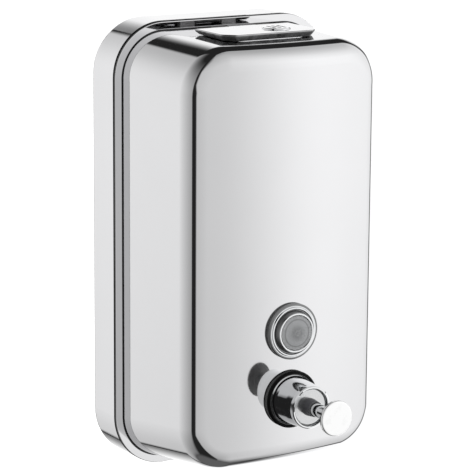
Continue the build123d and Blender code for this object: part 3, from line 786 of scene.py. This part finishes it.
def shell_side(surface, samples, inset):
    """Wall, rounded edge and crown of one side of the sheet; returns its first row and its hole loops."""
    sense = -1 if inset else 1
    arcs = [edge_arc(sample, EDGE_STEPS) for sample in samples]
    walls = [wall_normal(sample) for sample in samples]
    starts = [FLANGE_BACK + inset * normal.y if inset else GROOVE_FLOOR for normal in walls]

    def finished(row):
        return flipped(row) if inset else row

    rows = []
    for step in range(WALL_STEPS + 1):
        row = []
        for sample, arc, normal, start in zip(samples, arcs, walls, starts):
            reach = lerp(start, arc[0], step / WALL_STEPS)
            x, z = outline_place(sample, reach)
            row.append(row_point(Vector((x, reach, z)), normal, inset))
        rows.append(row)
    on_top = [sample[0] == 0 and (sample[4] or sample[1] == pi / 2) for sample in samples]
    top = [i for i, found in enumerate(on_top) if found]
    top_end = top + [top[-1] + 1]
    for row, next_row in zip(rows, rows[1:]):
        row, next_row = finished(row), finished(next_row)
        for i in range(len(samples)):
            if i not in top:
                j = (i + 1) % len(samples)
                surface.face([row[i], row[j], next_row[j], next_row[i]])
    edge_rows = []
    for step in range(EDGE_STEPS + 1):
        edge_rows.append([row_point(arc[1] + (EDGE - inset) * arc[2][step], arc[2][step]) for arc in arcs])
    surface.strips([finished(row) for row in edge_rows])

    outline = [(point[0], point[2]) for point, _ in edge_rows[-1]]
    holes = [circle_loop(WINDOW_Z, WINDOW_HOLE), circle_loop(VALVE_Z, VALVE_HOLE)]
    extra = crown_grid(outline)
    patch(surface, outline, holes, extra, lambda x, z: crown_corner(x, z, inset, sense))

    normal = walls[top[0]]
    ring = [rows[0][i][0] for i in top_end] + [row[top_end[-1]][0] for row in rows[1:-1]]
    ring += [rows[-1][i][0] for i in reversed(top_end)]
    ring += [row[top_end[0]][0] for row in reversed(rows[1:-1])]
    filler = rounded_rectangle(FILLER_HALF, *FILLER_REACHES, FILLER_CORNER)

    def roof(x, reach):
        place = (x, -reach, tank(reach + inset * normal.y, "top") - inset * normal.z)
        return place, (0, -normal.y * sense, normal.z * sense)

    patch(surface, [(x, -y) for x, y, _ in ring], [filler], [], roof)
    loops = [[crown_corner(x, z, inset, sense)[0] for x, z in hole] for hole in holes]
    loops.append([roof(x, reach)[0] for x, reach in filler])
    return finished(rows[0]), loops


def crown_grid(outline):
    """Inner points of the crown, clear of its outline and holes."""
    ring = [Vector(p) for p in outline]
    points = []
    margin = 1.5
    holes = ((WINDOW_Z, WINDOW_HOLE), (VALVE_Z, VALVE_HOLE))
    for column in range(-19, 20):
        for line in range(-16, 17):
            place = Vector((column * 2.5, line * 6.0 + 2.0))
            clear = all((place - Vector((0, z))).length > hole + margin for z, hole in holes)
            if clear and inside(place, ring) and min((place - p).length for p in ring) > margin:
                points.append(place)
    return points


def build_shell(finish):
    """Deep-drawn front of the tank, one millimetre thick, with its flange and openings."""
    surface = Surface()
    samples = perimeter()
    first_row, outer_loops = shell_side(surface, samples, 0.0)
    inner_row, inner_loops = shell_side(surface, samples, SHEET)
    for outer, inner in zip(outer_loops, inner_loops):
        rim_of_hole(surface, outer, inner)
    floor_in = [(point, (0, -1, 0)) for point, _ in first_row]
    surface.strip(floor_in, flange_row(samples, GROOVE, GROOVE_FLOOR, 0, 1))
    surface.strips([flange_row(samples, *entry) for entry in flange_profile()])
    back_in = [(point, (0, 1, 0)) for point, _ in inner_row]
    surface.strip(flange_row(samples, LEDGE, FLANGE_BACK, 0, -1), back_in)
    shell = surface.finish("pressed_front_shell", "dispenser")
    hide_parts("front_shell")
    shell.data.materials.append(finish)


# ---- lid and spring ---------------------------------------------------------------------------------
def lid_loop(inset):
    """Rounded (x, reach) outline of the lid moved inward, with outward normals; it runs anticlockwise."""
    half, front, back = LID_HALF - inset, LID_FRONT - inset, LID_BACK + inset
    clip = LID_CLIP - inset * (2 - sqrt(2))
    right = [(half, back), (half, front - clip), (half - clip, front)]
    points = [Vector(p) for p in right + [(-x, reach) for x, reach in reversed(right)]]
    loop = []
    for i, corner in enumerate(points):
        into = (corner - points[i - 1]).normalized()
        away = (points[(i + 1) % 6] - corner).normalized()
        cut = max(0.2, LID_ROUND - inset) if 0 < i < 5 else max(0.15, 0.6 - inset)
        start, end = corner - into * cut, corner + away * cut
        for step in range(7):
            t = step / 6
            place = start * (1 - t) ** 2 + corner * 2 * t * (1 - t) + end * t * t
            along = (into * (1 - t) + away * t).normalized()
            loop.append((place, Vector((along.y, -along.x))))
    return loop


def lid_row(inset, tilt, height):
    """Row of (point, normal) round the lid; tilt is the normal's angle above level, height(reach) gives z."""
    row = []
    for place, outward in lid_loop(inset):
        normal = (outward.x * cos(tilt), -outward.y * cos(tilt), sin(tilt))
        row.append(((place.x, -place.y, height(place.y)), normal))
    return row


def roof_height(reach):
    return tank(reach, "top") + SKIRT_CLEAR


def build_lid(finish):
    """Pressed lid: flat top with a rounded edge, a skirt that leans in under it and a hole for the lock."""
    surface = Surface()
    outer = []
    for step in range(9):
        angle = lerp(pi / 2, -SKIRT_ANGLE, step / 8)
        inset = LID_EDGE * (1 - cos(angle))
        edge_z = LID_TOP - LID_EDGE * (1 - sin(angle))
        outer.append(lid_row(inset, angle, lambda reach: edge_z))
    outer.append(lid_row(SKIRT_LEAN, -SKIRT_ANGLE, roof_height))
    inner_top = LID_TOP - SHEET
    inner = [
        lid_row(SKIRT_LEAN + SKIRT_SHEET, -SKIRT_ANGLE, roof_height),
        lid_row(SHEET + 0.3, -SKIRT_ANGLE, lambda reach: inner_top),
    ]
    surface.strips(outer)
    surface.strips([flipped(row) for row in inner])
    foot = [[(point, (0, 0, -1)) for point, _ in row] for row in (outer[-1], inner[0])]
    surface.strip(*foot)
    turns = [2 * pi * i / 48 for i in range(48)]
    hole = [(LOCK_X + LOCK_HOLE * cos(a), LOCK_REACH + LOCK_HOLE * sin(a)) for a in turns]
    for row, z, up in ((outer[0], LID_TOP, 1), (inner[1], inner_top, -1)):
        outline = [(point[0], -point[1]) for point, _ in row]
        patch(surface, outline, [hole], [], lambda x, reach: ((x, -reach, z), (0, 0, up)))
    rim_of_hole(surface, [(x, -r, LID_TOP) for x, r in hole], [(x, -r, inner_top) for x, r in hole])
    lid = surface.finish("pressed_lid", "lid")
    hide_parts("lid")
    lid.data.materials.append(finish)


def build_knuckle(finish):
    """Rolled knuckle round the hinge pin, with the tongue that joins it to the lid's plate."""
    roll = Surface()
    turns = [2 * pi * i / 32 for i in range(32)]
    outward = [(0, cos(a), sin(a)) for a in turns]
    inward = [(0, -y, -z) for _, y, z in outward]

    def circle(x, radius):
        return [(x, -HINGE_REACH + radius * y, HINGE_Z + radius * z) for _, y, z in outward]

    left_in, left_out = circle(-KNUCKLE_HALF, KNUCKLE_BORE), circle(-KNUCKLE_HALF, KNUCKLE_RADIUS)
    right_in, right_out = circle(KNUCKLE_HALF, KNUCKLE_BORE), circle(KNUCKLE_HALF, KNUCKLE_RADIUS)
    roll.strip(list(zip(left_out, outward)), list(zip(right_out, outward)))
    roll.strip(list(zip(left_in, inward)), list(zip(right_in, inward)))
    roll.strip([(p, (-1, 0, 0)) for p in left_in], [(p, (-1, 0, 0)) for p in left_out])
    roll.strip([(p, (1, 0, 0)) for p in right_in], [(p, (1, 0, 0)) for p in right_out])
    front, back = -LID_BACK - 0.6, -HINGE_REACH - 0.4
    tongue = [(-KNUCKLE_HALF, front), (KNUCKLE_HALF, front), (KNUCKLE_HALF, back), (-KNUCKLE_HALF, back)]
    top = [(x, y, LID_TOP - 0.02) for x, y in tongue]
    bottom = [(x, y, LID_TOP - 0.98) for x, y in tongue]
    roll.face([(p, (0, 0, 1)) for p in top])
    roll.face([(p, (0, 0, -1)) for p in bottom])
    for i, side in enumerate(((0, -1, 0), (1, 0, 0), (0, 1, 0), (-1, 0, 0))):
        j = (i + 1) % 4
        roll.face([(p, side) for p in (top[i], top[j], bottom[j], bottom[i])])
    knuckle = roll.finish("rolled_knuckle", "lid")
    knuckle.data.materials.append(finish)


def build_spring(finish):
    """Return spring of the valve, as a fixed coil; the mesh does not shorten as the knob goes in."""
    surface = Surface()
    steps = SPRING_TURNS * 40
    low, high = (reach + side for reach, side in zip(SPRING_REACHES, (SPRING_WIRE, -SPRING_WIRE)))
    rise = (high - low) / (2 * pi * SPRING_TURNS)
    rows = []
    for step in range(steps + 1):
        angle = 2 * pi * SPRING_TURNS * step / steps
        out = Vector((cos(angle), 0, sin(angle)))
        along = Vector((-SPRING_RADIUS * sin(angle), -rise, SPRING_RADIUS * cos(angle))).normalized()
        across = along.cross(out)
        centre = out * SPRING_RADIUS + Vector((0, -lerp(low, high, step / steps), VALVE_Z))
        normals = [out * cos(a) + across * sin(a) for a in (2 * pi * i / 12 for i in range(12))]
        rows.append([(tuple(centre + n * SPRING_WIRE), tuple(n)) for n in normals])
    surface.strips(rows)
    for row, facing in ((rows[0], Vector((0, 0, -1))), (rows[-1], Vector((0, 0, 1)))):
        surface.face([(point, tuple(facing)) for point, _ in row])
    spring = surface.finish("coil_spring", "dispenser")
    spring.data.materials.append(finish)
    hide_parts("return_spring")
    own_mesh(spring)


def place_camera():
    """A long lens, to the left of the object and a little above it."""
    azimuth, elevation, roll = radians(CAMERA_AZIMUTH), radians(CAMERA_ELEVATION), radians(CAMERA_ROLL)
    right = Vector((cos(azimuth), sin(azimuth), 0))
    back = Vector((sin(azimuth) * cos(elevation), -cos(azimuth) * cos(elevation), sin(elevation)))
    up = back.cross(right)
    data = bpy.data.cameras.new("camera")
    data.sensor_width = SENSOR
    data.lens = LENS
    data.clip_start = 0.01
    data.clip_end = 50
    camera = bpy.data.objects.new("camera", data)
    scene.collection.objects.link(camera)
    place = Vector(CAMERA_TARGET) + right * CAMERA_SHIFT[0] + up * CAMERA_SHIFT[1] + back * CAMERA_DISTANCE
    turned_right = right * cos(roll) + up * sin(roll)
    turned_up = -right * sin(roll) + up * cos(roll)
    basis = Matrix((turned_right, turned_up, back)).transposed()
    camera.matrix_world = Matrix.Translation(place) @ basis.to_4x4()
    scene.camera = camera


# ---- the scene --------------------------------------------------------------------------------------
place_camera()
studio_world()
floor_and_sun()
finishes = build_materials()
build_shell(finishes["shell_steel"])
build_lid(finishes["lid_steel"])
build_knuckle(finishes["lid_steel"])
build_spring(finishes["spring_steel"])
scene.view_settings.view_transform = "Standard"
